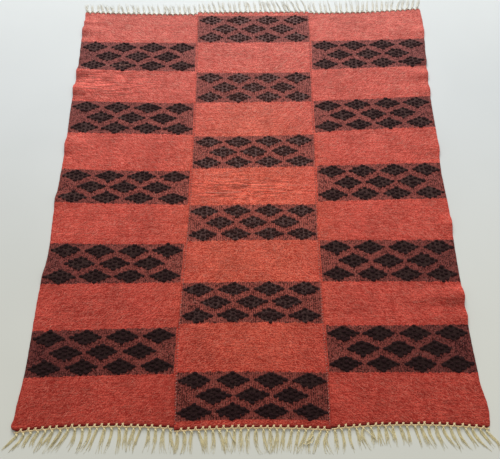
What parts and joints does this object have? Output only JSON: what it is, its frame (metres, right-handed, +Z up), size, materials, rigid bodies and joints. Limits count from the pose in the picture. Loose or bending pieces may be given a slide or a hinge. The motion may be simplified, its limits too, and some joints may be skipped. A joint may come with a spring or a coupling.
{
  "type": "flat-woven wool rug",
  "caption": "Flat-woven wool floor rug of sewn strips, coral red with staggered dark blocks of raised knotted lozenges, and a knotted fringe at both ends; lies flat on a floor.",
  "frame": {"origin": "on the floor under the middle of the rug, fringes included", "axes": "+Z up from the floor, +Y along the rug's length towards its far end, +X across its width to the right"},
  "size_m": [1.552, 1.852, 0.0172],
  "materials": {
    "wool_cloth": "matt heathered wool, flat woven",
    "warp_yarn": "matt cream wool yarn"
  },
  "bodies": {
    "root": {"panel_left": "wool_cloth", "panel_centre": "wool_cloth", "panel_right": "wool_cloth", "fringe_far_left": "warp_yarn", "fringe_far_centre": "warp_yarn", "fringe_far_right": "warp_yarn", "fringe_near_left": "warp_yarn", "fringe_near_centre": "warp_yarn", "fringe_near_right": "warp_yarn"}
  },
  "joints": []
}
